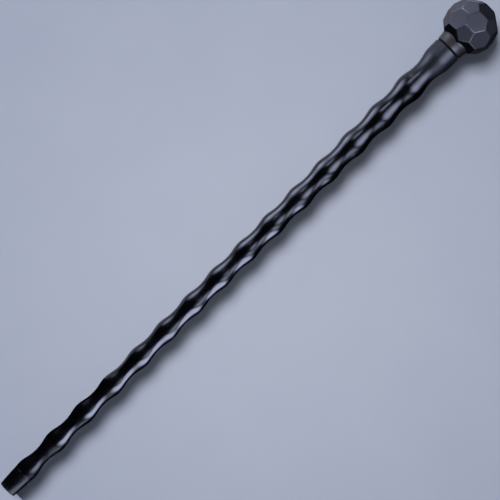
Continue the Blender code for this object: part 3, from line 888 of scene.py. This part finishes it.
# Painted pool of light: floor and board are painted paler towards this spot behind the cane
LIGHT_POOL_MIDDLE = (0.05, 0.0, 0.45)
LIGHT_POOL_REACH = 0.62
MOTTLE_SHARE = 0.4
PAPER_ROUGHNESS = 0.9
BOARD_DISTANCE = 0.0405
BOARD_WIDTH = 1.6
BOARD_HEIGHT = 1.5
REFLECTED_DISTANCE = 0.0400
REFLECTED_FOOT = 0.20
REFLECTED_TOP = 1.03
REFLECTED_LEFT = -1.5
REFLECTED_RIGHT = -0.02
FLOOR_HALF = 4.0
UNLIT_BLACK = (0.0, 0.0, 0.0, 1.0)


def stage_board(name, corners, finish):
    """Flat four-cornered piece of the stage."""
    mesh = bpy.data.meshes.new(name)
    mesh.from_pydata(corners, [], [(0, 1, 2, 3)])
    mesh.materials.append(finish)
    board = shown_object(name, mesh)
    return board


def level_board(name, half, finish):
    """Square board that lies level at the origin."""
    return stage_board(name, [(-half, -half, 0.0), (half, -half, 0.0), (half, half, 0.0),
                              (-half, half, 0.0)], finish)


def upright_board(name, left, right, foot, top, distance, finish):
    """Board that stands square behind the cane."""
    return stage_board(name, [(left, distance, foot), (right, distance, foot),
                              (right, distance, top), (left, distance, top)], finish)


def only_in_gloss(shown):
    """Let a stage object show in the gloss and nowhere else."""
    shown.visible_camera = False
    shown.visible_diffuse = False
    shown.visible_shadow = False
    shown.visible_transmission = False


def stage_finish(name, deeper, paler, see_through_from_behind):
    """Plain matte finish with a faint mottle and a painted pool of light, paler behind the cane.
    """
    finish, tree, shader = new_finish(name)
    place = object_place(tree)
    mottle = add_node(tree, 'ShaderNodeTexNoise', {"Vector": place, "Scale": 9.0,
                                                   "Detail": 5.0, "Roughness": 0.6})
    away = add_node(tree, 'ShaderNodeVectorMath', {0: place, 1: LIGHT_POOL_MIDDLE},
                    operation='DISTANCE').outputs["Value"]
    # Painted pool of light, with the random mottle laid over it
    mottle_and_light_pool = fade(tree, away, LIGHT_POOL_REACH, 0.0)
    mottle_and_light_pool = reckon(tree, 'MULTIPLY_ADD', mottle.outputs["Fac"], MOTTLE_SHARE, mottle_and_light_pool)
    mottle_and_light_pool = reckon(tree, 'SUBTRACT', mottle_and_light_pool, MOTTLE_SHARE / 2)
    tree.links.new(blend_colour(tree, mottle_and_light_pool, deeper, paler), shader.inputs["Base Color"])
    shader.inputs["Roughness"].default_value = PAPER_ROUGHNESS
    shader.inputs["Specular IOR Level"].default_value = 0.0
    if see_through_from_behind:
        surface = tree.nodes["Material Output"].inputs["Surface"]
        back = add_node(tree, 'ShaderNodeNewGeometry').outputs["Backfacing"]
        shadow = add_node(tree, 'ShaderNodeLightPath').outputs["Is Shadow Ray"]
        clear = add_node(tree, 'ShaderNodeBsdfTransparent')
        passing = reckon(tree, 'MAXIMUM', back, shadow)
        mix = add_node(tree, 'ShaderNodeMixShader', {0: passing, 1: shader.outputs["BSDF"],
                                                     2: clear.outputs["BSDF"]})
        tree.links.new(mix.outputs["Shader"], surface)
    return finish


floor_paper = stage_finish("floor paper", STAGE_DEEPER, STAGE_LIT_POOL_PALE, False)
tree = floor_paper.node_tree
shader = tree.nodes["Principled BSDF"]
seen = add_node(tree, 'ShaderNodeLightPath').outputs["Is Camera Ray"]
tree.links.new(blend_colour(tree, seen, UNLIT_BLACK, FLOOR_LIFT), shader.inputs["Emission Color"])
shader.inputs["Emission Strength"].default_value = 1.0
floor = level_board("floor", FLOOR_HALF, floor_paper)
floor.visible_glossy = False
floor.visible_shadow = False
backdrop_paper = stage_finish("backdrop paper", STAGE_DEEPER, STAGE_LIT_POOL_PALE, True)
backdrop = upright_board("backdrop", -BOARD_WIDTH / 2, BOARD_WIDTH / 2, 0.0, BOARD_HEIGHT,
                         BOARD_DISTANCE, backdrop_paper)
backdrop.visible_glossy = False
reflected_paper = stage_finish("reflected paper", REFLECTED_PAPER, REFLECTED_PAPER, True)
reflected_board = upright_board("reflected_board", REFLECTED_LEFT, REFLECTED_RIGHT,
                                REFLECTED_FOOT, REFLECTED_TOP, REFLECTED_DISTANCE,
                                reflected_paper)
only_in_gloss(reflected_board)


# Camera
# It stands level with the cane's middle, a little to the left, and is rolled so that the
# upright cane runs from the picture's lower left to its upper right.
CAMERA_SIDE = math.radians(3.7)
CAMERA_DISTANCE = 3.79
CAMERA_ROLL = math.radians(45)
CAMERA_LENS = 197.9
CAMERA_SENSOR = 36.0
CAMERA_SEES_TO = 50.0
AIM_HEIGHT = 0.4706
AIM_TO_RIGHT = 0.0030

looking = Vector((math.sin(CAMERA_SIDE), math.cos(CAMERA_SIDE), 0.0))
rightwards = Vector((math.cos(CAMERA_SIDE), -math.sin(CAMERA_SIDE), 0.0))
aim = Vector((0.0, 0.0, AIM_HEIGHT)) + rightwards * AIM_TO_RIGHT
camera_data = bpy.data.cameras.new("camera")
camera_data.lens = CAMERA_LENS
camera_data.sensor_width = CAMERA_SENSOR
camera_data.clip_end = CAMERA_SEES_TO
camera = bpy.data.objects.new("camera", camera_data)
camera.location = aim - looking * CAMERA_DISTANCE
camera.rotation_mode = 'QUATERNION'
camera.rotation_quaternion = (looking.to_track_quat('-Z', 'Y')
                              @ Quaternion((0.0, 0.0, 1.0), CAMERA_ROLL))
bpy.context.scene.collection.objects.link(camera)
bpy.context.scene.camera = camera
bpy.context.scene.view_settings.view_transform = 'Standard'


# Lamps and world
# One large soft lamp lights the cane and throws its shadow. Softly fading panels stand round
# the cane, square to the picture, and show only in its gloss. A black tent keeps the rest of
# the gloss dark, and the world is pale where it is seen.
CANE_MIDDLE = Vector((0.0, 0.0, 0.47))
KEY_AZIMUTH = -26
KEY_HEIGHT = 2.10
KEY_DISTANCE = 12.0
KEY_SIZE = 4.3
KEY_BRIGHTNESS = 24.6
DAYLIGHT_BLUE = (0.90, 1.00, 1.43, 1.0)
WORLD_DIM = (0.156, 0.151, 0.133, 1.0)
WORLD_PALE = (0.345, 0.383, 0.492, 1.0)
TENT_BLACK = (0.001, 0.001, 0.001, 1.0)
TENT_RADIUS = 3.2
TENT_FOOT = -2.5
TENT_HEIGHT = 4.0
TENT_SIDES = 32
picture_up = (Vector((0.0, 0.0, 1.0)) - rightwards).normalized()


def around(azimuth, height, distance):
    """Point round the cane's axis; azimuth 0 is in front of it and 90 to its right."""
    angle = math.radians(azimuth)
    return Vector((distance * math.sin(angle), -distance * math.cos(angle), height))


def facing_cane(place):
    """Matrix of a flat thing that faces the cane's middle, square to the picture."""
    away = (place - CANE_MIDDLE).normalized()
    across = picture_up.cross(away).normalized()
    turn = Matrix((across, away.cross(across), away)).transposed().to_4x4()
    return Matrix.Translation(place) @ turn


def shineless_finish(name, colour):
    """Start a material that has no gloss."""
    finish, tree, shader = new_finish(name)
    shader.inputs["Base Color"].default_value = colour
    shader.inputs["Roughness"].default_value = 1.0
    shader.inputs["Specular IOR Level"].default_value = 0.0
    return finish, tree, shader


def gloss_panel(name, place, width, height, brightness, fading_share=1.0):
    """Glowing panel that fades to its rim, over that share of the way from its middle."""
    finish, tree, shader = shineless_finish(name, UNLIT_BLACK)
    where = add_node(tree, 'ShaderNodeTexCoord').outputs["Object"]
    glow = add_node(tree, 'ShaderNodeTexGradient', {"Vector": where}, gradient_type='SPHERICAL')
    strength = fade(tree, glow.outputs["Fac"], 0.0, fading_share)
    tree.links.new(blend_colour(tree, strength, UNLIT_BLACK, DAYLIGHT_BLUE),
                   shader.inputs["Emission Color"])
    shader.inputs["Emission Strength"].default_value = brightness
    panel = level_board(name, 1.0, finish)
    panel.matrix_world = facing_cane(place) @ Matrix.Diagonal((width / 2, height / 2, 1.0, 1.0))
    only_in_gloss(panel)


key_data = bpy.data.lights.new("key", 'AREA')
key_data.shape = 'SQUARE'
key_data.size = KEY_SIZE
key_data.energy = KEY_BRIGHTNESS * math.pi * KEY_SIZE * KEY_SIZE
key = bpy.data.objects.new("key", key_data)
key.matrix_world = facing_cane(around(KEY_AZIMUTH, KEY_HEIGHT, KEY_DISTANCE))
key.visible_camera = False
key.visible_glossy = False
bpy.context.scene.collection.objects.link(key)

# Each one's azimuth, height and distance; its width, height and brightness; its fading share
gloss_panel("low_right_panel", around(67, 0.265, 0.45), 0.86, 0.48, 8.6, 0.6)
gloss_panel("middle_right_panel", around(45, 0.50, 0.50), 0.70, 0.37, 4.2)
gloss_panel("high_right_panel", around(34, 0.94, 0.64), 1.14, 1.12, 6.2)
gloss_panel("foot_panel", around(66, -0.12, 0.62), 1.90, 0.80, 1.8, 0.4)
gloss_panel("high_left_panel", around(-75, 1.16, 0.71), 0.90, 2.40, 6.4)
gloss_panel("middle_left_panel", around(-83, 0.60, 0.45), 0.70, 0.72, 6.0)

tent_corners = [Vector((0.0, TENT_HEIGHT)), Vector((TENT_RADIUS, TENT_HEIGHT)),
                Vector((TENT_RADIUS, TENT_FOOT)), Vector((0.0, TENT_FOOT))]
tent_mesh = turned_mesh("black_tent", tent_corners, TENT_SIDES)
tent_mesh.materials.append(shineless_finish("black tent cloth", TENT_BLACK)[0])
tent = shown_object("black_tent", tent_mesh)
only_in_gloss(tent)

world = bpy.data.worlds.new("studio")
bpy.context.scene.world = world
world.use_nodes = True
tree = world.node_tree
background = tree.nodes["Background"]
path = add_node(tree, 'ShaderNodeLightPath')
seen = reckon(tree, 'MAXIMUM', path.outputs["Is Camera Ray"], path.outputs["Is Glossy Ray"])
seen = reckon(tree, 'MAXIMUM', seen, path.outputs["Is Transmission Ray"])
tree.links.new(blend_colour(tree, seen, WORLD_DIM, WORLD_PALE), background.inputs["Color"])
